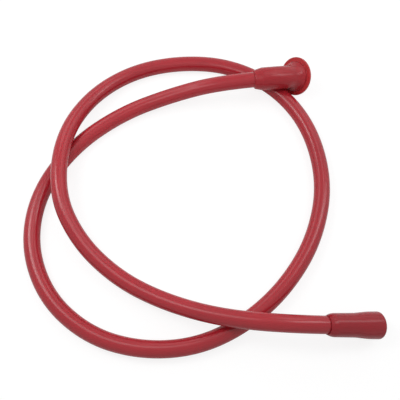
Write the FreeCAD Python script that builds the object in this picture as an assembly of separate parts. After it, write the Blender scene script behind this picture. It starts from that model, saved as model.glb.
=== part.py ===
import FreeCAD, Part
import math
import os
from FreeCAD import Vector

# Siphon hose with a flanged soft cuff at one end and a stepped soft cuff over a
# foot valve at the other. It lies on a table in one and three quarter loops.
# Sizes are in millimetres, angles in degrees. +Z is up, and the origin is on the
# table, under the middle of the box round the two end fittings.

# Hose
hose_outer = 16.0
hose_wall = 2.0

# Fits and running gaps, each measured on the radius or along the axis
push_fit = 0.05
valve_gap = 0.05
pin_fit = 0.03
seat_touch = 0.05

# Flanged cuff: a soft sleeve over the hose's end that bends down to its flange.
# The widths of its collar and rim are counted outwards from the fillet.
flange_sleeve_wall = 2.85
flange_lip_wall = 1.45
flange_lip_round = 1.2
flange_lead_in = 8.0
flange_socket_depth = 14.0
flange_bend_radius = 46.0
flange_bore_chamfer = 1.0
flange_neck = 0.5
flange_fillet = 3.5
collar_width = 1.1
collar_round = 0.6
collar_step = 0.4
flange_rim_width = 4.3
flange_thickness = 3.0
flange_edge_round = 1.2

# Foot cuff: a soft sleeve over the hose's end that widens round the foot valve
foot_lip_wall = 0.4
foot_lead_in = 6.0
foot_sleeve_wall = 2.15
foot_step_after_hose = 4.5
foot_step_length = 9.5
foot_head_wall = 1.95
foot_mouth_wall = 2.35
foot_mouth_depth = 3.8
foot_mouth_widening = 0.25
foot_socket_depth = 20.0
foot_rim_round = 1.5
foot_mouth_chamfer = 0.5

# Crimped band that holds the hose on the valve's stem, under the foot cuff
band_to_hose_end = 1.5
band_length = 12.0
band_wall = 0.6

# Foot valve body. Its stem is sized from the hose's bore.
stem_start = 5.0
stem_wall = 2.0
stem_tip_wall = 1.0
stem_neck = 1.5
barb_height = 0.65
barb_count = 3
shoulder_length = 8.0
shoulder_inset = 0.1
valve_lead = 4.2
chamber_wall = 2.0
chamber_bore = 14.8
chamber_depth = 18.5
chamber_cone_length = 5.0

# Moving and seated pieces of the foot valve
ball_diameter = 11.0
ball_travel = 4.4
stop_pin_diameter = 2.0
stop_pin_inset = 0.3
seat_ring_bore = 8.4
seat_ring_thickness = 1.4
seat_bush_length = 5.2
seat_bush_bore = 9.0
bush_flange_thickness = 1.2
strainer_diameter = 12.4
strainer_thickness = 0.6
strainer_recess = 1.6
strainer_hole = 1.5
strainer_hole_pitch = 2.4
strainer_rings = 2
snap_ring_wall = 0.8
snap_ring_thickness = 0.8
snap_ring_gap_angle = 50.0

# Where the fittings lie: heading from +X towards +Y, and dip below the table's plane
flange_mouth_x = -53.7
flange_mouth_y = 117.3
flange_mouth_heading = 5.5
flange_face_heading = 28.2
flange_face_dip = 30.5
foot_mouth_x = 51.3
foot_mouth_y = -135.4
foot_heading = 2.0
foot_dip = 18.0

# Route of the free hose, from the flanged cuff to the foot cuff. The first and the
# last point lie on the fittings' axes and are worked out from these two reaches.
flange_reach = 36.0
foot_reach = 29.0
lying = hose_outer / 2
rising = lying + 5
crossing = lying + hose_outer + 1.5
route_between = [
    (-143, 108.5, rising),
    (-197, 88.5, lying),
    (-244, 50.5, lying),
    (-274.5, -0.5, lying),
    (-280, -55.5, lying),
    (-258, -108.5, lying),
    (-216, -143.5, lying),
    (-167, -157.5, lying),
    (-116, -155, lying),
    (-70, -133.5, lying),
    (-30, -98.5, lying),
    (0, -51.5, lying),
    (15, 8.5, lying),
    (3.5, 72.5, lying),
    (-28, 119.9, lying),
    (-77, 148.5, lying),
    (-132, 154.5, lying),
    (-186, 142.5, lying),
    (-230.5, 107, rising),
    (-253, 51.5, crossing),
    (-253, -10.5, crossing),
    (-229, -56.5, rising),
    (-191, -92.5, lying),
    (-146, -114.5, rising),
    (-93, -130, crossing - 2),
]
arc_share = 0.45

# Radii that several pieces share
hose_radius = hose_outer / 2
hose_bore_radius = hose_radius - hose_wall
socket_radius = hose_radius + push_fit
flange_sleeve_radius = socket_radius + flange_sleeve_wall
fillet_radius = flange_sleeve_radius + flange_fillet
collar_radius = fillet_radius + collar_width
rim_radius = collar_radius + flange_rim_width
x_axis = Vector(1, 0, 0)
z_axis = Vector(0, 0, 1)


def heading_vector(heading, dip):
    """Unit vector at a heading in the table's plane, pointing down by the dip."""
    level = math.cos(math.radians(dip))
    return Vector(
        level * math.cos(math.radians(heading)),
        level * math.sin(math.radians(heading)),
        -math.sin(math.radians(dip)),
    )


def profile_face(start, steps):
    """Closed face in the XZ plane. A step of two numbers is a line to that point,
    and a step of four is an arc through the first point to the second."""
    edges = []
    here = Vector(start[0], 0, start[1])
    for step in steps + [start]:
        end = Vector(step[-2], 0, step[-1])
        if end.distanceToPoint(here) < 1e-7:
            continue
        if len(step) == 4:
            edges.append(Part.Arc(here, Vector(step[0], 0, step[1]), end).toShape())
        else:
            edges.append(Part.LineSegment(here, end).toShape())
        here = end
    return Part.Face(Part.Wire(edges))


def turned(start, steps):
    """Solid of revolution about the X axis."""
    return profile_face(start, steps).revolve(Vector(), x_axis, 360)


def tube(start, end, outer_radius, inner_radius):
    """Plain ring or sleeve about the X axis."""
    return turned(
        (start, inner_radius),
        [(start, outer_radius), (end, outer_radius), (end, inner_radius)],
    )


def rounded_corner(x, r, radius, x_side, r_side):
    """Middle of a quarter arc about the centre (x, r), towards the given sides."""
    share = radius * math.sqrt(0.5)
    return (x + x_side * share, r + r_side * share)


def tangent_rise(x0, r0, x1, r1):
    """Arc step that climbs from (x0, r0) and ends level at (x1, r1)."""
    run = x1 - x0
    rise = r1 - r0
    radius = (run * run + rise * rise) / (2 * rise)
    half_turn = math.asin(run / radius) / 2
    mid = (x1 - radius * math.sin(half_turn), r1 - radius * (1 - math.cos(half_turn)))
    return mid + (x1, r1)


def level_rise(x0, r0, x1, r1):
    """Arc step that leaves (x0, r0) level and climbs to (x1, r1)."""
    run = x1 - x0
    rise = r1 - r0
    radius = (run * run + rise * rise) / (2 * rise)
    half_turn = math.asin(run / radius) / 2
    mid = (x0 + radius * math.sin(half_turn), r0 + radius * (1 - math.cos(half_turn)))
    return mid + (x1, r1)


def ogee(x0, r0, x1, r1):
    """Two equal arcs, level at both ends, from (x0, r0) to (x1, r1)."""
    x_mid = (x0 + x1) / 2
    r_mid = (r0 + r1) / 2
    return [level_rise(x0, r0, x_mid, r_mid), tangent_rise(x_mid, r_mid, x1, r1)]


# Directions and local frames of the two fittings
flange_start = heading_vector(flange_mouth_heading, 0)
flange_normal = heading_vector(flange_face_heading, flange_face_dip)
foot_axis = heading_vector(foot_heading, foot_dip)
flange_bend = math.degrees(flange_start.getAngle(flange_normal))


def axes_rotation(along, towards):
    """Rotation that takes +X to along, and -Z to the side that towards lies on."""
    side = along.cross(towards).normalize()
    return FreeCAD.Rotation(along, side, along.cross(side), "XYZ")


# The flanged cuff is built with its lip at the origin, its sleeve along +X and its
# bend towards -Z. bend_centre is the centre of the bend's arc.
bend_centre = Vector(flange_socket_depth, 0, -flange_bend_radius)
bend_turn = math.radians(flange_bend)
bend_end = bend_centre + Vector(math.sin(bend_turn), 0, math.cos(bend_turn)) * flange_bend_radius
collar_back = flange_neck + flange_fillet
flange_back = collar_back + collar_round + collar_step
flange_front = flange_back + flange_thickness


def at_bend_end(shape):
    """Moves a piece from the start of the bend to its end, turned with it."""
    moved = shape.copy()
    moved.translate(Vector(flange_socket_depth, 0, 0))
    moved.rotate(bend_centre, Vector(0, 1, 0), flange_bend)
    return moved


def bent_rod(radius):
    """Round bar along the bend's arc."""
    start = Vector(flange_socket_depth, 0, 0)
    disc = Part.Face(Part.Wire([Part.makeCircle(radius, start, x_axis)]))
    return disc.revolve(bend_centre, Vector(0, 1, 0), flange_bend)


def flange_outside():
    """Sleeve's straight start, its bend, and the fillet, collar and flange."""
    sleeve_radius = flange_sleeve_radius
    lip_radius = socket_radius + flange_lip_wall
    flat_lip = lip_radius - flange_lip_round
    lip_mid = rounded_corner(flange_lip_round, flat_lip, flange_lip_round, -1, 1)
    start = turned(
        (0, 0),
        [
            (0, flat_lip),
            lip_mid + (flange_lip_round, lip_radius),
            (flange_lead_in, sleeve_radius),
            (flange_socket_depth, sleeve_radius),
            (flange_socket_depth, 0),
        ],
    )
    fillet_mid = rounded_corner(flange_neck, fillet_radius, flange_fillet, 1, -1)
    collar_flat = collar_radius - collar_round
    collar_mid = rounded_corner(collar_back + collar_round, collar_flat, collar_round, -1, 1)
    rim_flat = rim_radius - flange_edge_round
    back_mid = rounded_corner(flange_back + flange_edge_round, rim_flat, flange_edge_round, -1, 1)
    front_mid = rounded_corner(flange_front - flange_edge_round, rim_flat, flange_edge_round, 1, 1)
    end = turned(
        (0, 0),
        [
            (0, sleeve_radius),
            (flange_neck, sleeve_radius),
            fillet_mid + (collar_back, fillet_radius),
            (collar_back, collar_flat),
            collar_mid + (collar_back + collar_round, collar_radius),
            (flange_back, collar_radius),
            (flange_back, rim_flat),
            back_mid + (flange_back + flange_edge_round, rim_radius),
            (flange_front - flange_edge_round, rim_radius),
            front_mid + (flange_front, rim_flat),
            (flange_front, 0),
        ],
    )
    return start.fuse([bent_rod(sleeve_radius), at_bend_end(end)]).removeSplitter()


def flange_inside():
    """Socket for the hose, and the bore that runs on through the bend."""
    bore_radius = hose_bore_radius
    socket = Part.makeCylinder(socket_radius, flange_socket_depth, Vector(), x_axis)
    bore = turned(
        (0, 0),
        [
            (0, bore_radius),
            (flange_front - flange_bore_chamfer, bore_radius),
            (flange_front, bore_radius + flange_bore_chamfer),
            (flange_front, 0),
        ],
    )
    return [socket, bent_rod(bore_radius), at_bend_end(bore)]


def make_flange_cuff():
    return flange_outside().cut(flange_inside())


def flange_placement():
    """Turns the cuff to its headings and lowers it until its rim meets the table."""
    turn = axes_rotation(flange_start, flange_normal)
    edge = turn.multVec(bend_end) + flange_normal * (flange_front - flange_edge_round)
    level = math.cos(math.radians(flange_face_dip))
    below = (rim_radius - flange_edge_round) * level + flange_edge_round
    mouth_z = below - edge.z
    return FreeCAD.Placement(Vector(flange_mouth_x, flange_mouth_y, mouth_z), turn)


# The foot is built with the cuff's lip at the origin and its mouth towards +X.
chamber_cone_start = foot_socket_depth + valve_lead
chamber_cone_end = chamber_cone_start + chamber_cone_length
chamber_end = chamber_cone_end + chamber_depth
bush_face = chamber_end + bush_flange_thickness
foot_length = bush_face + foot_mouth_depth
foot_step_start = foot_socket_depth + foot_step_after_hose
foot_step_end = foot_step_start + foot_step_length
shoulder_end = foot_socket_depth + shoulder_length
chamber_bore_radius = chamber_bore / 2
chamber_radius = chamber_bore_radius + chamber_wall
head_bore_radius = chamber_radius + push_fit
foot_mouth_radius = head_bore_radius + foot_mouth_wall
band_end = foot_socket_depth - band_to_hose_end
band_start = band_end - band_length
seat_bush_start = chamber_end - seat_bush_length
seat_ring_start = seat_bush_start - seat_ring_thickness
ball_radius = ball_diameter / 2
seat_drop = math.sqrt(ball_radius ** 2 - (seat_ring_bore / 2) ** 2)
ball_centre = seat_ring_start - seat_drop - seat_touch
ball_limit = ball_centre - ball_travel - ball_radius
stop_pin_centre = ball_limit - seat_touch * 2 - stop_pin_diameter / 2


def shoulder_radius(x):
    """Radius of the valve body's cone shoulder, from the hose's end to the chamber."""
    start = hose_radius - shoulder_inset
    share = min(1, (x - foot_socket_depth) / shoulder_length)
    return start + (chamber_radius - start) * share


def make_foot_cuff():
    """Sleeve, step and head over the valve, with a rounded rim at the mouth."""
    lip_radius = socket_radius + foot_lip_wall
    sleeve_radius = socket_radius + foot_sleeve_wall
    head_radius = head_bore_radius + foot_head_wall
    rim_start = foot_length - foot_rim_round
    rim_flat = foot_mouth_radius - foot_rim_round
    rim_mid = rounded_corner(rim_start, rim_flat, foot_rim_round, 1, 1)
    outer_steps = [
        (0, lip_radius),
        tangent_rise(0, lip_radius, foot_lead_in, sleeve_radius),
        (foot_step_start, sleeve_radius),
    ]
    outer_steps += ogee(foot_step_start, sleeve_radius, foot_step_end, head_radius)
    outer_steps += [
        (rim_start, foot_mouth_radius),
        rim_mid + (foot_length, rim_flat),
        (foot_length, 0),
    ]
    outside = turned((0, 0), outer_steps)
    groove_radius = socket_radius + band_wall + push_fit
    mouth_bore = head_bore_radius + foot_mouth_widening
    inside = turned(
        (0, 0),
        [
            (0, socket_radius),
            (band_start - push_fit, socket_radius),
            (band_start - push_fit, groove_radius),
            (band_end + push_fit, groove_radius),
            (band_end + push_fit, socket_radius),
            (foot_socket_depth, socket_radius),
            (shoulder_end, head_bore_radius),
            (bush_face, head_bore_radius),
            (bush_face, mouth_bore),
            (foot_length - foot_mouth_chamfer, mouth_bore),
            (foot_length, mouth_bore + foot_mouth_chamfer),
            (foot_length, 0),
        ],
    )
    return outside.cut(inside)


def make_crimp_band():
    inner = hose_radius + push_fit
    return tube(band_start, band_end, inner + band_wall, inner)


def make_valve_body():
    """Barbed stem, cone shoulder and open chamber, with a cross hole for the pin."""
    stem_bore_radius = hose_bore_radius - stem_wall
    barb_radius = hose_bore_radius - push_fit
    root_radius = barb_radius - barb_height
    barb_pitch = (foot_socket_depth - stem_start - stem_neck) / barb_count
    steps = [(stem_start, hose_bore_radius - stem_tip_wall)]
    for index in range(barb_count):
        barb_end = stem_start + (index + 1) * barb_pitch
        steps += [(barb_end, barb_radius), (barb_end, root_radius)]
    steps += [
        (foot_socket_depth, root_radius),
        (foot_socket_depth, shoulder_radius(foot_socket_depth)),
        (shoulder_end, chamber_radius),
        (chamber_end, chamber_radius),
        (chamber_end, chamber_bore_radius),
        (chamber_cone_end, chamber_bore_radius),
        (chamber_cone_start, stem_bore_radius),
    ]
    body = turned((stem_start, stem_bore_radius), steps)
    hole_radius = stop_pin_diameter / 2 + pin_fit
    hole_start = Vector(stop_pin_centre, 0, -chamber_radius)
    return body.cut(Part.makeCylinder(hole_radius, chamber_radius * 2, hole_start, z_axis))


def make_stop_pin():
    """Cross pin, its ends set in below the shoulder that it goes through."""
    radius = stop_pin_diameter / 2
    reach = shoulder_radius(stop_pin_centre - radius) - stop_pin_inset
    start = Vector(stop_pin_centre, 0, -reach)
    return Part.makeCylinder(radius, reach * 2, start, z_axis)


def make_valve_ball():
    return Part.makeSphere(ball_radius, Vector(ball_centre, 0, 0))


def make_seat_ring():
    outer = chamber_bore_radius - valve_gap
    return tube(seat_ring_start, seat_bush_start, outer, seat_ring_bore / 2)


def make_seat_bush():
    """Pressed bush that backs the seat ring and carries the strainer's recess."""
    bore = seat_bush_bore / 2
    recess = strainer_diameter / 2 + push_fit
    return turned(
        (seat_bush_start, bore),
        [
            (seat_bush_start, chamber_bore_radius - push_fit),
            (chamber_end, chamber_bore_radius - push_fit),
            (chamber_end, chamber_radius),
            (bush_face, chamber_radius),
            (bush_face, recess),
            (bush_face - strainer_recess, recess),
            (bush_face - strainer_recess, bore),
        ],
    )


def make_inlet_strainer():
    """Thin disc with one middle hole and rings of six and twelve holes round it."""
    start = bush_face - strainer_recess
    disc = Part.makeCylinder(strainer_diameter / 2, strainer_thickness, Vector(start, 0, 0), x_axis)
    holes = []
    for ring in range(strainer_rings + 1):
        count = max(1, 6 * ring)
        for index in range(count):
            angle = 2 * math.pi * index / count
            reach = ring * strainer_hole_pitch
            centre = Vector(start - 1, reach * math.cos(angle), reach * math.sin(angle))
            length = strainer_thickness + 2
            holes.append(Part.makeCylinder(strainer_hole / 2, length, centre, x_axis))
    return disc.cut(holes)


def make_snap_ring():
    """Open ring that holds the strainer in its recess."""
    start = bush_face - strainer_recess + strainer_thickness
    outer = strainer_diameter / 2
    ring = tube(start, start + snap_ring_thickness, outer, outer - snap_ring_wall)
    side = strainer_diameter
    gap = Part.makeCylinder(side, snap_ring_thickness + 2, Vector(start - 1, 0, 0), x_axis, snap_ring_gap_angle)
    return ring.cut(gap)


def foot_placement():
    """Lies the foot at its dip with the lowest point of its rim on the table."""
    dip = math.radians(foot_dip)
    rim_start = foot_length - foot_rim_round
    flat_radius = foot_mouth_radius - foot_rim_round
    lip_x = foot_mouth_x - foot_axis.x * foot_length
    lip_y = foot_mouth_y - foot_axis.y * foot_length
    lip_z = flat_radius * math.cos(dip) + foot_rim_round + rim_start * math.sin(dip)
    lip = Vector(lip_x, lip_y, lip_z)
    return FreeCAD.Placement(lip, axes_rotation(foot_axis, Vector(0, 0, -1)))


def rounded_route(points):
    """Straight runs joined by tangent arcs, as large as the runs beside each allow."""
    edges = []
    here = points[0]
    for index in range(1, len(points) - 1):
        corner = points[index]
        before = corner - points[index - 1]
        after = points[index + 1] - corner
        turn = before.getAngle(after)
        cut = arc_share * min(before.Length, after.Length)
        radius = cut / math.tan(turn / 2)
        into = corner - before.normalize() * cut
        out = corner + after.normalize() * cut
        inward = (into + out) * 0.5 - corner
        reach = radius / math.cos(turn / 2) - radius
        middle = corner + inward.normalize() * reach
        edges.append(Part.LineSegment(here, into).toShape())
        edges.append(Part.Arc(into, middle, out).toShape())
        here = out
        print("corner %2d  turn %5.1f  radius %6.1f" % (index, math.degrees(turn), radius))
    edges.append(Part.LineSegment(here, points[-1]).toShape())
    return Part.Wire(edges)


def make_hose():
    """The whole hose, with its straight ends in the two cuffs' sockets."""
    flange_mouth = flange_placement().Base
    foot_lip = foot_placement().Base
    points = [flange_mouth + flange_start * flange_socket_depth]
    points.append(flange_mouth - flange_start * flange_reach)
    points += [Vector(*point) for point in route_between]
    points.append(foot_lip - foot_axis * foot_reach)
    points.append(foot_lip + foot_axis * foot_socket_depth)
    route = rounded_route(points)
    pipes = []
    for radius in (hose_radius, hose_bore_radius):
        ring = Part.Wire([Part.makeCircle(radius, points[0], flange_start)])
        pipes.append(route.makePipeShell([ring], True, False))
    hose = pipes[0].cut(pipes[1])
    section = math.pi * (hose_radius ** 2 - hose_bore_radius ** 2)
    print("hose length %.1f" % route.Length)
    print("hose volume %.1f, section times length %.1f" % (hose.Volume, section * route.Length))
    for point in (points[0], points[1], points[-2], points[-1]):
        print("route end point %.2f %.2f %.2f" % tuple(point))
    return hose


def export(shape, name, placement=None):
    """Places one sub-part, checks its solids and writes its file."""
    if placement:
        shape = shape.copy()
        shape.Placement = placement.multiply(shape.Placement)
    solids = shape.Solids
    body = solids[0] if len(solids) == 1 else Part.makeCompound(solids)
    print("%-16s solids %d valid %s volume %.1f" % (name, len(solids), body.isValid(), body.Volume))
    body.exportStep("parts/%s.step" % name)
    return body


def main():
    os.makedirs("parts", exist_ok=True)
    flange = flange_placement()
    foot = foot_placement()
    export(make_hose(), "hose")
    fittings = [
        export(make_flange_cuff(), "flange_cuff", flange),
        export(make_foot_cuff(), "foot_cuff", foot),
        export(make_crimp_band(), "crimp_band", foot),
        export(make_valve_body(), "valve_body", foot),
        export(make_stop_pin(), "stop_pin", foot),
        export(make_valve_ball(), "valve_ball", foot),
        export(make_seat_ring(), "seat_ring", foot),
        export(make_seat_bush(), "seat_bush", foot),
        export(make_inlet_strainer(), "inlet_strainer", foot),
        export(make_snap_ring(), "snap_ring", foot),
    ]
    box = fittings[0].optimalBoundingBox()
    box.add(fittings[1].optimalBoundingBox())
    print("cuffs' box centre %.2f %.2f, lowest %.3f" % (box.Center.x, box.Center.y, box.ZMin))
    flange_centre = flange.multVec(bend_end) + flange_normal * flange_front
    print("flange face at %.3f %.3f %.3f" % tuple(flange_centre))
    print("flange face normal %.6f %.6f %.6f" % tuple(flange_normal))
    foot_mouth = foot.Base + foot_axis * foot_length
    print("foot mouth at %.3f %.3f %.3f" % tuple(foot_mouth))
    print("foot axis %.6f %.6f %.6f" % tuple(foot_axis))


main()
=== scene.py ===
"""Siphon hose with a flanged cuff and a foot valve: surfaces, finishes, light and camera.

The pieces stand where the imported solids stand, in metres, with +Z up. The outlines of the
cuffs and the seat ring are in millimetres, and angles are in degrees.
"""
import math

import bpy
import numpy as np
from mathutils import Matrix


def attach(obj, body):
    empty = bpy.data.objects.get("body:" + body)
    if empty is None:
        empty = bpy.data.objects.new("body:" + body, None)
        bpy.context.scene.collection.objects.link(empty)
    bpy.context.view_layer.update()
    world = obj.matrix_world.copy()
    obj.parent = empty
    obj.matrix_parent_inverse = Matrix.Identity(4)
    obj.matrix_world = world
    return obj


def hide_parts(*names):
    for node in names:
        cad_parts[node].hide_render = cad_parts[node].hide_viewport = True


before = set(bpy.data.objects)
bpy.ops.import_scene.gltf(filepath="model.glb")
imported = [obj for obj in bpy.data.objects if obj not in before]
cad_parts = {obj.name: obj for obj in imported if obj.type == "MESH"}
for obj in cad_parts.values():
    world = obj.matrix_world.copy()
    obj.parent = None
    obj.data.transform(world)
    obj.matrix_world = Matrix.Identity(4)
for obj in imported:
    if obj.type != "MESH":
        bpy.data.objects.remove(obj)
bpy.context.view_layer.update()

mm = 0.001

# Hose, in metres
hose_radius = 8.0 * mm
hose_bore_radius = 6.0 * mm
hose_sides = 64
hose_end_round = 0.5 * mm
hose_end_rings = 4
hose_line_steps = 24
hose_rings_per_bore_ring = 4
# Control points of the hose's line, from the flanged cuff to the foot
hose_route = [
    (-0.03976, 0.11864, 0.02857),
    (-0.08953, 0.11385, 0.02857),
    (-0.1437, 0.1078, 0.013),
    (-0.1968, 0.0877, 0.008),
    (-0.2442, 0.0494, 0.008),
    (-0.2749, -0.0015, 0.008),
    (-0.2794, -0.0575, 0.008),
    (-0.2570, -0.1092, 0.008),
    (-0.2151, -0.1438, 0.008),
    (-0.1662, -0.1575, 0.008),
    (-0.1150, -0.1544, 0.008),
    (-0.0691, -0.1332, 0.008),
    (-0.0295, -0.0981, 0.008),
    (0.0008, -0.0506, 0.008),
    (0.0152, 0.0085, 0.008),
    (0.0043, 0.0724, 0.008),
    (-0.0279, 0.1198, 0.008),
    (-0.0770, 0.1487, 0.008),
    (-0.1321, 0.1541, 0.008),
    (-0.1868, 0.1418, 0.008),
    (-0.2302, 0.1061, 0.013),
    (-0.2525, 0.0506, 0.0255),
    (-0.2524, -0.0114, 0.0255),
    (-0.2291, -0.0571, 0.0165),
    (-0.1904, -0.0921, 0.011),
    (-0.1449, -0.1150, 0.014),
    (-0.0916, -0.1309, 0.0235),
    (-0.02635, -0.13811, 0.03608),
    (0.02022, -0.13649, 0.02094),
]

# Both cuffs: radius of the socket that holds the hose, in millimetres
socket_radius = 8.05

# Flanged cuff: lengths run along its middle line, from where the hose goes in
flange_start = np.array((-53.7, 117.3, 28.57)) * mm
sleeve_heading = 5.5
face_heading = 28.2
face_dip = 30.5
bend_start = 14.0
bend_radius = 46.0
flange_lip = -1.4
flange_lip_radius = 9.7
flange_lip_round = 1.2
flange_sleeve_start = 7.2
flange_sleeve_radius = 11.85
flange_sleeve_round = 0.5
flange_bore_radius = 6.0
flange_bore_bevel = 1.0
flange_edge_round = 0.4
flange_socket_round = 0.3
# The flare, the collar and the rim, measured on from the end of the bend
flare_start = -6.0
flare_end = 2.0
flare_end_radius = 15.3
collar_start = 2.5
collar_start_radius = 15.7
collar_end = 4.5
collar_end_radius = 16.0
rim_back_radius = 20.2
rim_back_round = 0.6
rim_front = 7.3
rim_front_radius = 20.1
rim_front_round = 1.5
# Radius beyond which the flange's thin rim gets a painted glow of light shining through it
painted_rim_glow_start = 16.2

# Foot cuff: lengths run along its straight axis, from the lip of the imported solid
foot_mouth = np.array((51.3, -135.4, 10.832)) * mm
foot_heading = 2.0
foot_dip = 18.0
foot_length = 52.7
foot_lip = -2.0
foot_lip_radius = 8.2
foot_lip_end = 5.6
foot_sleeve_radius = 10.45
foot_step_start = 26.2
foot_step_radius = 10.8
foot_step_round = 1.0
foot_head_start = 40.5
foot_head_radius = 12.2
foot_head_round = 4.0
foot_front = foot_length - 0.3
foot_front_radius = 12.45
foot_front_round = 2.1
foot_mouth_radius = 9.7
foot_mouth_bevel = 0.5
foot_mouth_round = 0.25
strainer_seat = 48.9
valve_pocket_radius = 9.45
valve_pocket_start = 28.0
valve_cone_start = 20.0
valve_cone_round = 0.5
band_pocket_radius = 8.7
band_pocket_start = 6.45
band_pocket_end = 18.55
sharp_round = 0.1
foot_lip_round = 0.05
foot_socket_round = 0.2

# Seat ring in the foot valve, along the same axis
seat_start = 41.1
seat_end = 42.5
seat_bore_radius = 4.2
seat_rim_radius = 7.35
seat_round = 0.3

# Where a strand of the hose passes under the flanged cuff, how far along it the cuff may
# touch it, and the gap that the cuff keeps, in metres
strand_under_flange = (-0.030, 0.117, 0.008)
strand_reach = 0.025
rest_gap = 0.2 * mm

# Fineness of the turned pieces: steps round and along them, and in millimetres the
# longest step of an outline and the distance under which two points are one
cuff_sides = 128
seat_sides = 64
profile_step = 0.8
corner_steps = 6
rise_steps = 6
flare_steps = 8
same_point = 1e-4

# Grain of the rubber and the metal, as texture scales, and the ranges of it that show
mottle_scale = 26
mottle_range = (0.3, 0.7)
pore_scale = 1500
smear_scale = 70
smear_range = (0.3, 0.7)
tool_mark_scale = 700
tool_mark_waver = 1.5
stain_scale = 180
stain_range = (0.35, 0.75)
stain_dulls_by = 0.25
# Brighter, warmer red painted on the flange's thin rim as the glow of light shining through it
painted_rim_glow_colour = (0.44, 0.026, 0.030, 1)
# What each finish group puts out, and the colour sockets of a Mix node
finish_outputs = (
    ("Color", "NodeSocketColor"),
    ("Roughness", "NodeSocketFloat"),
    ("Height", "NodeSocketFloat"),
)
mix_first = 6
mix_second = 7
mix_result = 2

# Camera and surroundings
camera_place = (-0.1123, -0.1922, 0.478)
camera_tilt = 21.0
camera_lens = 45.0
camera_near = 0.01
camera_far = 20.0
floor_half = 4.0
floor_white = 0.9
floor_seen_matt = 0.20
floor_seen_glow = 0.84
floor_reflected_glow = 0.05
sky_light = 0.40
sky_seen = 1.0

# Soft boxes: name, place, width and height in metres, and power in watts
soft_boxes = [
    ("left_box", (-0.80, 0.30, 0.98), 0.30, 0.30, 1.05),
    ("left_tall_box", (-0.80, 0.30, 0.80), 0.25, 1.00, 0.78),
    ("left_front_box", (-0.70, 0.15, 0.85), 0.30, 0.30, 0.58),
    ("near_left_box", (-0.35, 0.02, 0.36), 0.14, 0.14, 0.23),
    ("near_back_left_box", (-0.29, 0.28, 0.30), 0.19, 0.19, 0.17),
    ("near_back_right_box", (0.10, 0.30, 0.38), 0.22, 0.22, 0.16),
    ("near_top_box", (-0.22, -0.02, 0.33), 0.14, 0.14, 0.12),
    ("middle_top_box", (-0.10, 0.0, 0.45), 0.30, 0.30, 0.08),
    ("right_tall_box", (0.36, 0.12, 0.55), 0.15, 0.60, 0.66),
    ("near_right_box", (0.27, 0.10, 0.47), 0.14, 0.14, 0.17),
    ("right_high_box", (0.50, 0.13, 1.14), 0.25, 0.25, 0.22),
    ("right_back_box", (0.70, 0.80, 0.50), 0.90, 0.90, 0.80),
    ("right_low_box", (1.00, 0.0, 0.50), 0.90, 0.90, 0.28),
    ("back_box", (-0.10, 1.10, 0.50), 0.90, 0.90, 0.25),
    ("back_left_box", (-0.90, 0.80, 0.50), 0.90, 0.90, 0.12),
    ("high_box", (0.39, 0.49, 1.60), 0.50, 0.50, 0.90),
]
soft_box_target = (-0.12, 0.0, 0.0)


# Shapes
def unit(vector):
    """Vectors of length one along the last axis."""
    return vector / np.linalg.norm(vector, axis=-1, keepdims=True)


def heading_vector(heading, dip):
    """Unit vector at a heading in the floor's plane, pointing down by the dip."""
    level = math.cos(math.radians(dip))
    turn = math.radians(heading)
    return np.array((level * math.cos(turn), level * math.sin(turn), -math.sin(math.radians(dip))))


def add_surface(name, points, along, around, body):
    """Closed ring-shaped surface from a grid of points, rows of rings, wrapped both ways.

    Row i, column j is a corner of the face (i, j), (i + 1, j), (i + 1, j + 1), (i, j + 1).
    along and around are the grid's own coordinates, one more than the rows and columns,
    and they become the surface's UV map.
    """
    rows, columns = points.shape[:2]
    i, j = np.meshgrid(np.arange(rows), np.arange(columns), indexing="ij")
    row = i * columns
    next_row = (i + 1) % rows * columns
    next_j = (j + 1) % columns
    corners = np.stack((row + j, next_row + j, next_row + next_j, row + next_j), -1)
    u = np.stack((along[i], along[i + 1], along[i + 1], along[i]), -1)
    v = np.stack((around[j], around[j], around[j + 1], around[j + 1]), -1)
    mesh = bpy.data.meshes.new(name)
    mesh.vertices.add(rows * columns)
    mesh.vertices.foreach_set("co", points.reshape(-1).astype(np.float32))
    mesh.loops.add(corners.size)
    mesh.loops.foreach_set("vertex_index", corners.reshape(-1).astype(np.int32))
    mesh.polygons.add(rows * columns)
    mesh.polygons.foreach_set("loop_start", np.arange(0, corners.size, 4, dtype=np.int32))
    mesh.update(calc_edges=True)
    mesh.uv_layers.new(name="surface")
    mesh.uv_layers["surface"].uv.foreach_set("vector", np.stack((u, v), -1).reshape(-1).astype(np.float32))
    mesh.shade_smooth()
    piece = bpy.data.objects.new(name, mesh)
    bpy.context.scene.collection.objects.link(piece)
    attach(piece, body)
    return piece


def rounded_profile(corners):
    """Closed outline, in metres, through rows of (along, radius, rounding) in millimetres.

    Each corner is a quadratic curve from one rounding before it to one rounding after
    it, (1-t)^2 a + 2t(1-t) c + t^2 b, and the straight stretches between the curves are
    cut into even steps no longer than profile_step.
    """
    rows = np.array(corners, float)
    place, rounding = rows[:, :2], rows[:, 2:]
    before = unit(np.roll(place, 1, 0) - place)
    after = unit(np.roll(place, -1, 0) - place)
    first = place + before * rounding
    last = place + after * rounding
    t = np.linspace(0, 1, corner_steps + 1)[:, None]
    parts = []
    for index, (a, c, b) in enumerate(zip(first, place, last)):
        if rounding[index, 0] > 0:
            parts.append((1 - t) ** 2 * a + 2 * t * (1 - t) * c + t ** 2 * b)
        else:
            parts.append(c[None])
        following = first[(index + 1) % len(rows)]
        steps = max(1, math.ceil(np.linalg.norm(following - b) / profile_step))
        share = np.linspace(0, 1, steps + 1)[1:-1, None]
        parts.append(b + (following - b) * share)
    outline = np.concatenate(parts)
    apart = np.linalg.norm(outline - np.roll(outline, 1, 0), axis=1) > same_point
    return outline[apart] * mm


def crown(x0, r0, x1, r1):
    """Rows for a convex rise, one parabola that ends level, without its first point."""
    t = np.linspace(0, 1, rise_steps + 1)[1:]
    return [(x0 + (x1 - x0) * a, r0 + (r1 - r0) * (1 - (1 - a) ** 2), 0) for a in t]


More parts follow.
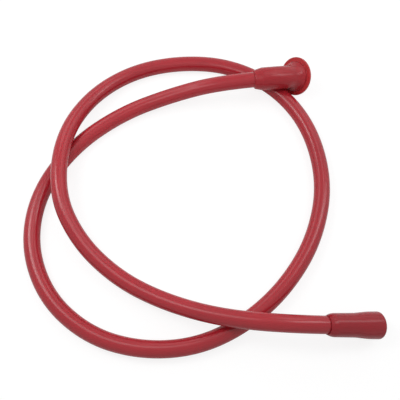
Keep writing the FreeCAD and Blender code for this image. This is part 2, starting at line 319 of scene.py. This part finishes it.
def flare(x0, r0, x1, r1):
    """Rows for a hollow rise, one parabola that starts level, without its first point."""
    t = np.linspace(0, 1, flare_steps + 1)[1:]
    return [(x0 + (x1 - x0) * a, r0 + (r1 - r0) * a ** 2, 0) for a in t]


def rested_on(points, line, reach):
    """Grid of points in which none is nearer than reach to a line.

    A point that is nearer moves straight away from the line's nearest point, as a soft
    skin does where it lies on the hose.
    """
    gap = points[:, :, None] - line
    apart = np.linalg.norm(gap, axis=-1)
    nearest = apart.argmin(-1)[..., None]
    away = np.take_along_axis(gap, nearest[..., None], 2)[:, :, 0]
    distance = np.take_along_axis(apart, nearest, 2)
    return points + away * np.maximum(reach / distance - 1, 0)


def lathe_along(name, profile, centre, tangent, side, sides, body, under=None):
    """Ring surface whose outline (s, r) is carried round a line.

    centre, tangent and side give the line's place, direction and one square direction
    for each row's s. The ring's point at angle a is centre + r (cos a * up + sin a *
    side), where up = side x tangent. A soft skin is flat where it rests on the floor, so
    no point goes under z = 0, and it gives way to the line of a hose strand under it.
    """
    angle = np.linspace(0, 2 * math.pi, sides + 1)
    up = np.cross(side, tangent)
    turned = angle[None, :-1, None]
    ring = np.cos(turned) * up[:, None] + np.sin(turned) * side[:, None]
    points = centre[:, None] + profile[:, 1, None, None] * ring
    points[..., 2] = np.maximum(points[..., 2], 0)
    if under is not None:
        points = rested_on(points, under, hose_radius + rest_gap)
    lengths = np.linalg.norm(np.diff(np.vstack((profile, profile[:1])), axis=0), axis=1)
    along = np.concatenate(([0], np.cumsum(lengths)))
    return add_surface(name, points[:, ::-1], along, angle / (2 * math.pi), body)


# Pieces
def hose_line():
    """Points along the smooth line of the hose: an open quadratic NURBS spline."""
    curve = bpy.data.curves.new("hose_line", "CURVE")
    curve.dimensions = "3D"
    curve.resolution_u = hose_line_steps
    spline = curve.splines.new("NURBS")
    spline.points.add(len(hose_route) - 1)
    spline.points.foreach_set("co", np.array([p + (1,) for p in hose_route], float).reshape(-1))
    spline.order_u = 3
    spline.use_endpoint_u = True
    holder = bpy.data.objects.new("hose_line", curve)
    mesh = bpy.data.meshes.new_from_object(holder)
    points = np.empty(len(mesh.vertices) * 3)
    mesh.vertices.foreach_get("co", points)
    bpy.data.objects.remove(holder)
    bpy.data.curves.remove(curve)
    bpy.data.meshes.remove(mesh)
    return points.reshape(-1, 3)


def make_hose():
    """Tube with its bore. The wall's outline goes out along the outside and back inside.

    Each ring is square to the line, and its side direction is level, direction x up, so
    that the rings don't twist. A quarter circle rounds the wall at each end.
    """
    line = hose_line()
    tangent = unit(np.gradient(line, axis=0))
    side = unit(np.cross(tangent, (0.0, 0.0, 1.0)))
    count = len(line)
    rings = hose_end_rings
    inner = np.linspace(count - 1, 0, count // hose_rings_per_bore_ring).round().astype(int)
    order = np.concatenate((np.zeros(rings, int), np.arange(1, count - 1), np.full(rings, count - 1), inner))
    t = np.linspace(0, math.pi / 2, rings)
    near_end = slice(0, rings)
    far_end = slice(count + rings - 2, count + 2 * rings - 2)
    radius = np.full(len(order), hose_radius)
    radius[near_end] -= hose_end_round * (1 - np.sin(t))
    radius[far_end] -= hose_end_round * (1 - np.cos(t))
    radius[far_end.stop:] = hose_bore_radius
    shift = np.zeros(len(order))
    shift[near_end] = hose_end_round * (1 - np.cos(t))
    shift[far_end] = -hose_end_round * (1 - np.sin(t))
    centre = line[order] + tangent[order] * shift[:, None]
    steps = np.linalg.norm(np.diff(line, axis=0), axis=1)
    station = np.concatenate(([0], np.cumsum(steps)))[order] + shift
    profile = np.stack((station, radius), 1)
    hose = lathe_along("hose_tube", profile, centre, tangent[order], side[order], hose_sides, "body")
    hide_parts("hose")
    return hose, line


def flange_outline(bend_end):
    """Rows of the flanged cuff's lip, sleeve, flare, collar, rim, bore and socket."""
    front = bend_end + rim_front
    flare_from = (bend_end + flare_start, flange_sleeve_radius)
    flare_to = (bend_end + flare_end, flare_end_radius)
    return [
        (flange_lip, flange_lip_radius, flange_lip_round),
        (flange_sleeve_start, flange_sleeve_radius, flange_sleeve_round),
        (*flare_from, 0),
        *flare(*flare_from, *flare_to),
        (bend_end + collar_start, collar_start_radius, flange_edge_round),
        (bend_end + collar_end, collar_end_radius, flange_edge_round),
        (bend_end + collar_end, rim_back_radius, rim_back_round),
        (front, rim_front_radius, rim_front_round),
        (front, flange_bore_radius + flange_bore_bevel, flange_edge_round),
        (front - flange_bore_bevel, flange_bore_radius, flange_edge_round),
        (bend_start, flange_bore_radius, flange_socket_round),
        (bend_start, socket_radius, flange_socket_round),
        (flange_lip, socket_radius, flange_socket_round),
    ]


def make_flange_cuff(strand):
    """Outline of the flanged cuff, carried round a straight, arc, straight line.

    Before the bend the centre is flange_start + s * start, where start is the sleeve's
    direction. In it the direction turns from start to the face's normal at 1 /
    bend_radius, and after it the line runs on straight.
    """
    start = heading_vector(sleeve_heading, 0)
    normal = heading_vector(face_heading, face_dip)
    turn = math.acos(start @ normal)
    bend_end = bend_start + bend_radius * turn
    profile = rounded_profile(flange_outline(bend_end))
    station = profile[:, 0] / mm
    angle = np.clip((station - bend_start) / bend_radius, 0, turn)[:, None]
    inward = unit(normal - start * (start @ normal))
    tangent = start * np.cos(angle) + inward * np.sin(angle)
    arc = start * np.sin(angle) + inward * (1 - np.cos(angle))
    lead = np.minimum(station, bend_start)[:, None] * start
    tail = np.maximum(station - bend_end, 0)[:, None] * normal
    centre = flange_start + (lead + arc * bend_radius + tail) * mm
    side = np.broadcast_to(unit(np.cross(start, normal)), centre.shape)
    cuff = lathe_along("flange_cuff_skin", profile, centre, tangent, side, cuff_sides, "body", strand)
    # Mask of the thin rim, where the flange's material paints a glow of light shining through it
    thin = np.repeat(profile[:, 1] > painted_rim_glow_start * mm, cuff_sides).astype(np.float32)
    cuff.data.attributes.new("painted_rim_glow", "FLOAT", "POINT").data.foreach_set("value", thin)
    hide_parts("flange_cuff")
    return cuff


def foot_axis_rings(profile):
    """Centres, directions and level sides of rings along the foot's straight axis."""
    axis = heading_vector(foot_heading, foot_dip)
    lip = foot_mouth - axis * foot_length * mm
    centre = lip + profile[:, :1] * axis
    tangent = np.broadcast_to(axis, centre.shape)
    side = np.broadcast_to(unit(np.cross(axis, (0.0, 0.0, 1.0))), centre.shape)
    return centre, tangent, side


def make_foot_cuff():
    """Outline of lip, sleeve, step, head and the pockets inside, turned about the axis."""
    corners = [
        (foot_lip, foot_lip_radius, foot_lip_round),
        *crown(foot_lip, foot_lip_radius, foot_lip_end, foot_sleeve_radius),
        (foot_step_start, foot_step_radius, foot_step_round),
        (foot_head_start, foot_head_radius, foot_head_round),
        (foot_front, foot_front_radius, foot_front_round),
        (foot_front, foot_mouth_radius + foot_mouth_bevel, foot_mouth_round),
        (foot_front - foot_mouth_bevel, foot_mouth_radius, foot_mouth_round),
        (strainer_seat, foot_mouth_radius, sharp_round),
        (strainer_seat, valve_pocket_radius, sharp_round),
        (valve_pocket_start, valve_pocket_radius, valve_cone_round),
        (valve_cone_start, socket_radius, valve_cone_round),
        (band_pocket_end, socket_radius, sharp_round),
        (band_pocket_end, band_pocket_radius, sharp_round),
        (band_pocket_start, band_pocket_radius, sharp_round),
        (band_pocket_start, socket_radius, sharp_round),
        (foot_lip, socket_radius, foot_socket_round),
    ]
    profile = rounded_profile(corners)
    cuff = lathe_along("foot_cuff_skin", profile, *foot_axis_rings(profile), cuff_sides, "body")
    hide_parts("foot_cuff")
    return cuff


def make_seat_ring():
    """Outline of the soft ring that the ball closes on, turned about the foot's axis."""
    corners = [
        (seat_start, seat_rim_radius, seat_round),
        (seat_end, seat_rim_radius, seat_round),
        (seat_end, seat_bore_radius, seat_round),
        (seat_start, seat_bore_radius, seat_round),
    ]
    profile = rounded_profile(corners)
    ring = lathe_along("seat_ring_soft", profile, *foot_axis_rings(profile), seat_sides, "body")
    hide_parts("seat_ring")
    return ring


# Finishes
def new_node(tree, kind, place, **settings):
    """Node of a kind at a place in the tree's layout, with its settings."""
    node = tree.nodes.new(kind)
    node.location = place
    for key, value in settings.items():
        setattr(node, key, value)
    return node


def set_inputs(node, values):
    """Constants on a node's own sockets, by the sockets' names."""
    for key, value in values.items():
        node.inputs[key].default_value = value


def start_group(name, inputs):
    """Finish group with named inputs, which puts out a colour, a roughness and a height."""
    group = bpy.data.node_groups.new(name, "ShaderNodeTree")
    group.interface.new_socket(name="Vector", in_out="INPUT", socket_type="NodeSocketVector")
    for key, kind in inputs:
        group.interface.new_socket(name=key, in_out="INPUT", socket_type=kind)
    for key, kind in finish_outputs:
        group.interface.new_socket(name=key, in_out="OUTPUT", socket_type=kind)
    inside = new_node(group, "NodeGroupInput", (-900, 0))
    outside = new_node(group, "NodeGroupOutput", (700, 0))
    return group, inside, outside


def new_noise(group, place, scale, detail):
    """Noise texture of a scale and detail."""
    noise = new_node(group, "ShaderNodeTexNoise", place)
    set_inputs(noise, {"Scale": scale, "Detail": detail})
    return noise


def new_spread(group, place, span):
    """Map Range that spreads the part of a texture between two values over 0 to 1."""
    spread = new_node(group, "ShaderNodeMapRange", place)
    set_inputs(spread, {"From Min": span[0], "From Max": span[1]})
    return spread


def build_rubber_group():
    """Moulded rubber: slow mottling of colour, uneven gloss and fine skin relief."""
    group, inside, outside = start_group(
        "rubber_skin",
        (
            ("Main", "NodeSocketColor"),
            ("Deep", "NodeSocketColor"),
            ("Low gloss", "NodeSocketFloat"),
            ("High gloss", "NodeSocketFloat"),
        ),
    )
    mottle = new_noise(group, (-650, 250), mottle_scale, detail=3)
    pores = new_noise(group, (-650, -50), pore_scale, detail=2)
    smears = new_noise(group, (-650, -350), smear_scale, detail=4)
    spread = new_spread(group, (-400, 250), mottle_range)
    blend = new_node(group, "ShaderNodeMix", (-150, 250), data_type="RGBA")
    gloss = new_spread(group, (-150, -350), smear_range)
    relief = new_node(group, "ShaderNodeMath", (250, -100), operation="ADD")
    link = group.links.new
    for texture in (mottle, pores, smears):
        link(inside.outputs["Vector"], texture.inputs["Vector"])
    link(mottle.outputs["Fac"], spread.inputs["Value"])
    link(spread.outputs["Result"], blend.inputs["Factor"])
    link(inside.outputs["Main"], blend.inputs[mix_first])
    link(inside.outputs["Deep"], blend.inputs[mix_second])
    link(blend.outputs[mix_result], outside.inputs["Color"])
    link(smears.outputs["Fac"], gloss.inputs["Value"])
    link(inside.outputs["Low gloss"], gloss.inputs["To Min"])
    link(inside.outputs["High gloss"], gloss.inputs["To Max"])
    link(gloss.outputs["Result"], outside.inputs["Roughness"])
    link(smears.outputs["Fac"], relief.inputs[0])
    link(pores.outputs["Fac"], relief.inputs[1])
    link(relief.outputs["Value"], outside.inputs["Height"])
    return group


def build_metal_group():
    """Turned metal: rings of tool marks round the foot's axis and slow staining."""
    group, inside, outside = start_group(
        "turned_metal",
        (
            ("Main", "NodeSocketColor"),
            ("Stain", "NodeSocketColor"),
            ("Base gloss", "NodeSocketFloat"),
        ),
    )
    turning = new_node(group, "ShaderNodeMapping", (-700, -100), vector_type="TEXTURE")
    turning.inputs["Location"].default_value = foot_mouth
    turning.inputs["Rotation"].default_value = (0, math.radians(foot_dip), math.radians(foot_heading))
    marks = new_node(group, "ShaderNodeTexWave", (-450, -100), wave_type="RINGS", rings_direction="X")
    set_inputs(marks, {"Scale": tool_mark_scale, "Distortion": tool_mark_waver, "Detail": 2})
    stain = new_noise(group, (-450, 250), stain_scale, detail=4)
    spread = new_spread(group, (-200, 250), stain_range)
    blend = new_node(group, "ShaderNodeMix", (50, 250), data_type="RGBA")
    rough = new_node(group, "ShaderNodeMath", (50, 0), operation="MULTIPLY_ADD")
    rough.inputs[1].default_value = stain_dulls_by
    link = group.links.new
    link(inside.outputs["Vector"], turning.inputs["Vector"])
    link(turning.outputs["Vector"], marks.inputs["Vector"])
    link(inside.outputs["Vector"], stain.inputs["Vector"])
    link(stain.outputs["Fac"], spread.inputs["Value"])
    link(spread.outputs["Result"], blend.inputs["Factor"])
    link(inside.outputs["Main"], blend.inputs[mix_first])
    link(inside.outputs["Stain"], blend.inputs[mix_second])
    link(blend.outputs[mix_result], outside.inputs["Color"])
    link(spread.outputs["Result"], rough.inputs[0])
    link(inside.outputs["Base gloss"], rough.inputs[2])
    link(rough.outputs["Value"], outside.inputs["Roughness"])
    link(marks.outputs["Fac"], outside.inputs["Height"])
    return group


def finish_material(name, group, values, relief_depth, shader_values):
    """Material with one Principled shader fed by a finish group, on Object coordinates."""
    material = bpy.data.materials.new(name)
    material.use_nodes = True
    tree = material.node_tree
    shader = tree.nodes["Principled BSDF"]
    set_inputs(shader, shader_values)
    place = new_node(tree, "ShaderNodeTexCoord", (-800, 0))
    finish = new_node(tree, "ShaderNodeGroup", (-550, 0), node_tree=group)
    set_inputs(finish, values)
    relief = new_node(tree, "ShaderNodeBump", (-250, -250))
    set_inputs(relief, {"Strength": 1, "Distance": relief_depth})
    link = tree.links.new
    link(place.outputs["Object"], finish.inputs["Vector"])
    link(finish.outputs["Color"], shader.inputs["Base Color"])
    link(finish.outputs["Roughness"], shader.inputs["Roughness"])
    link(finish.outputs["Height"], relief.inputs["Height"])
    link(relief.outputs["Normal"], shader.inputs["Normal"])
    return material


def rubber(name, main, deep, gloss, relief_depth, ior):
    """Moulded rubber whose colour runs from main to deep and gloss from low to high."""
    values = {"Main": (*main, 1), "Deep": (*deep, 1), "Low gloss": gloss[0], "High gloss": gloss[1]}
    return finish_material(name, rubber_group, values, relief_depth, {"IOR": ior})


def metal(name, main, stain, gloss, relief_depth):
    """Turned metal whose colour runs from main to stain."""
    values = {"Main": (*main, 1), "Stain": (*stain, 1), "Base gloss": gloss}
    return finish_material(name, metal_group, values, relief_depth, {"Metallic": 1.0})


def hose_red():
    """Smooth red rubber of the hose, the glossiest of the three."""
    main = (0.39, 0.0185, 0.028)
    deep = (0.35, 0.0165, 0.0255)
    return rubber("hose_red", main, deep, (0.16, 0.20), 0.003 * mm, 1.4)


def flange_red():
    """Softer red rubber, with a brighter, warmer red painted on the flange's thin rim as the glow of light
    shining through it.
    """
    main = (0.345, 0.0145, 0.022)
    deep = (0.315, 0.013, 0.020)
    material = rubber("flange_red", main, deep, (0.22, 0.28), 0.004 * mm, 1.36)
    tree = material.node_tree
    shader = tree.nodes["Principled BSDF"]
    plain = shader.inputs["Base Color"].links[0].from_socket
    # Painted glow: on the thin rim the base colour turns to the brighter rim colour, in place of light
    # shining through
    rim = new_node(tree, "ShaderNodeAttribute", (-550, 300), attribute_name="painted_rim_glow")
    blend = new_node(tree, "ShaderNodeMix", (-250, 200), data_type="RGBA")
    blend.inputs[mix_second].default_value = painted_rim_glow_colour
    tree.links.new(rim.outputs["Fac"], blend.inputs["Factor"])
    tree.links.new(plain, blend.inputs[mix_first])
    tree.links.new(blend.outputs[mix_result], shader.inputs["Base Color"])
    return material


def foot_red():
    """Deeper red rubber of the foot."""
    main = (0.315, 0.0115, 0.019)
    deep = (0.29, 0.010, 0.0175)
    return rubber("foot_red", main, deep, (0.17, 0.21), 0.004 * mm, 1.36)


def seat_black():
    """Dull black rubber of the seat ring."""
    main = (0.02, 0.02, 0.02)
    deep = (0.013, 0.013, 0.014)
    return rubber("seat_black", main, deep, (0.4, 0.55), 0.006 * mm, 1.4)


def valve_brass():
    """Turned brass of the valve's body and bush."""
    return metal("valve_brass", (0.72, 0.52, 0.24), (0.50, 0.33, 0.13), 0.2, 0.002 * mm)


def steel_bright():
    """Bright steel of the sheet and wire pieces."""
    return metal("steel_bright", (0.62, 0.62, 0.61), (0.48, 0.48, 0.47), 0.18, 0.002 * mm)


def ball_chrome():
    """Polished ball."""
    return metal("ball_chrome", (0.70, 0.70, 0.71), (0.62, 0.62, 0.63), 0.06, 0.0004 * mm)


def dress(piece, material):
    """Gives a new piece its one material."""
    piece.data.materials.clear()
    piece.data.materials.append(material)


def dress_node(name, material):
    """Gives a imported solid's own object a material, and leaves its mesh as it is."""
    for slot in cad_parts[name].material_slots:
        slot.link = "OBJECT"
        slot.material = material


# Surroundings, light and camera
def make_camera():
    """Camera at the photo's viewing angle."""
    data = bpy.data.cameras.new("photo_camera")
    data.lens = camera_lens
    data.clip_start = camera_near
    data.clip_end = camera_far
    camera = bpy.data.objects.new("photo_camera", data)
    camera.location = camera_place
    camera.rotation_euler = (math.radians(camera_tilt), 0, 0)
    bpy.context.scene.collection.objects.link(camera)
    bpy.context.scene.camera = camera


def floor_material():
    """White floor. Seen by the camera it is part matt, for the shadow, and part glow."""
    material = bpy.data.materials.new("floor_white")
    material.use_nodes = True
    tree = material.node_tree
    tree.nodes.remove(tree.nodes["Principled BSDF"])
    path = new_node(tree, "ShaderNodeLightPath", (-900, 300))
    mirrored = new_node(tree, "ShaderNodeMath", (-700, 150), operation="MAXIMUM")
    glow = new_node(tree, "ShaderNodeMath", (-500, 150), operation="MULTIPLY")
    glow.inputs[1].default_value = floor_reflected_glow
    matt = new_node(tree, "ShaderNodeBsdfDiffuse", (-500, 350))
    matt.inputs["Color"].default_value = (floor_white,) * 3 + (1,)
    reflected = new_node(tree, "ShaderNodeEmission", (-300, 150))
    around = new_node(tree, "ShaderNodeAddShader", (-100, 250))
    seen_matt = new_node(tree, "ShaderNodeBsdfDiffuse", (-500, -50))
    seen_matt.inputs["Color"].default_value = (floor_seen_matt,) * 3 + (1,)
    seen_glow = new_node(tree, "ShaderNodeEmission", (-500, -200))
    seen_glow.inputs["Strength"].default_value = floor_seen_glow
    seen = new_node(tree, "ShaderNodeAddShader", (-100, -50))
    pick = new_node(tree, "ShaderNodeMixShader", (150, 50))
    link = tree.links.new
    link(path.outputs["Is Glossy Ray"], mirrored.inputs[0])
    link(path.outputs["Is Transmission Ray"], mirrored.inputs[1])
    link(mirrored.outputs["Value"], glow.inputs[0])
    link(glow.outputs["Value"], reflected.inputs["Strength"])
    link(matt.outputs["BSDF"], around.inputs[0])
    link(reflected.outputs["Emission"], around.inputs[1])
    link(seen_matt.outputs["BSDF"], seen.inputs[0])
    link(seen_glow.outputs["Emission"], seen.inputs[1])
    link(path.outputs["Is Camera Ray"], pick.inputs["Fac"])
    link(around.outputs["Shader"], pick.inputs[1])
    link(seen.outputs["Shader"], pick.inputs[2])
    link(pick.outputs["Shader"], tree.nodes["Material Output"].inputs["Surface"])
    return material


def make_floor():
    """Wide level floor that keeps the object's shadow."""
    mesh = bpy.data.meshes.new("floor")
    corners = [(x * floor_half, y * floor_half, 0) for x, y in ((-1, -1), (1, -1), (1, 1), (-1, 1))]
    mesh.from_pydata(corners, [], [(0, 1, 2, 3)])
    floor = bpy.data.objects.new("floor", mesh)
    bpy.context.scene.collection.objects.link(floor)
    dress(floor, floor_material())


def seen_rays(tree):
    """1 for camera, glossy and transmission rays, which see the white surrounding."""
    path = new_node(tree, "ShaderNodeLightPath", (-800, 300))
    first = new_node(tree, "ShaderNodeMath", (-600, 300), operation="MAXIMUM")
    every = new_node(tree, "ShaderNodeMath", (-400, 300), operation="MAXIMUM")
    tree.links.new(path.outputs["Is Camera Ray"], first.inputs[0])
    tree.links.new(path.outputs["Is Glossy Ray"], first.inputs[1])
    tree.links.new(first.outputs["Value"], every.inputs[0])
    tree.links.new(path.outputs["Is Transmission Ray"], every.inputs[1])
    return every.outputs["Value"]


def make_surrounding():
    """White surrounding that is dimmer as light than it looks."""
    world = bpy.data.worlds.new("studio")
    world.use_nodes = True
    tree = world.node_tree
    dim = tree.nodes["Background"]
    set_inputs(dim, {"Color": (1, 1, 1, 1), "Strength": sky_light})
    white = new_node(tree, "ShaderNodeBackground", (0, -150))
    set_inputs(white, {"Color": (1, 1, 1, 1), "Strength": sky_seen})
    pick = new_node(tree, "ShaderNodeMixShader", (200, 0))
    tree.links.new(seen_rays(tree), pick.inputs["Fac"])
    tree.links.new(dim.outputs["Background"], pick.inputs[1])
    tree.links.new(white.outputs["Background"], pick.inputs[2])
    tree.links.new(pick.outputs["Shader"], tree.nodes["World Output"].inputs["Surface"])
    bpy.context.scene.world = world


def make_lamp(name, place, width, height, power):
    """Soft box that faces the object."""
    data = bpy.data.lights.new(name, "AREA")
    data.shape = "RECTANGLE"
    data.size = width
    data.size_y = height
    data.energy = power
    lamp = bpy.data.objects.new(name, data)
    lamp.location = place
    away = np.array(place) - np.array(soft_box_target)
    level = math.hypot(away[0], away[1])
    lamp.rotation_euler = (math.atan2(level, away[2]), 0, math.atan2(away[0], -away[1]))
    bpy.context.scene.collection.objects.link(lamp)


# The camera and the hose come first, because the flanged cuff gives way to a strand of the hose
make_camera()
hose_piece, hose_points = make_hose()
beside_flange = np.linalg.norm(hose_points - strand_under_flange, axis=1) < strand_reach
flange_piece = make_flange_cuff(hose_points[beside_flange])
foot_piece = make_foot_cuff()
seat_piece = make_seat_ring()

rubber_group = build_rubber_group()
metal_group = build_metal_group()
dress(hose_piece, hose_red())
dress(flange_piece, flange_red())
dress(foot_piece, foot_red())
dress(seat_piece, seat_black())
for make_finish, node_names in (
    (valve_brass, ("valve_body", "seat_bush")),
    (steel_bright, ("crimp_band", "stop_pin", "inlet_strainer", "snap_ring")),
    (ball_chrome, ("valve_ball",)),
):
    finish = make_finish()
    for node_name in node_names:
        dress_node(node_name, finish)

make_floor()
make_surrounding()
for lamp in soft_boxes:
    make_lamp(*lamp)
bpy.context.scene.view_settings.view_transform = "Standard"
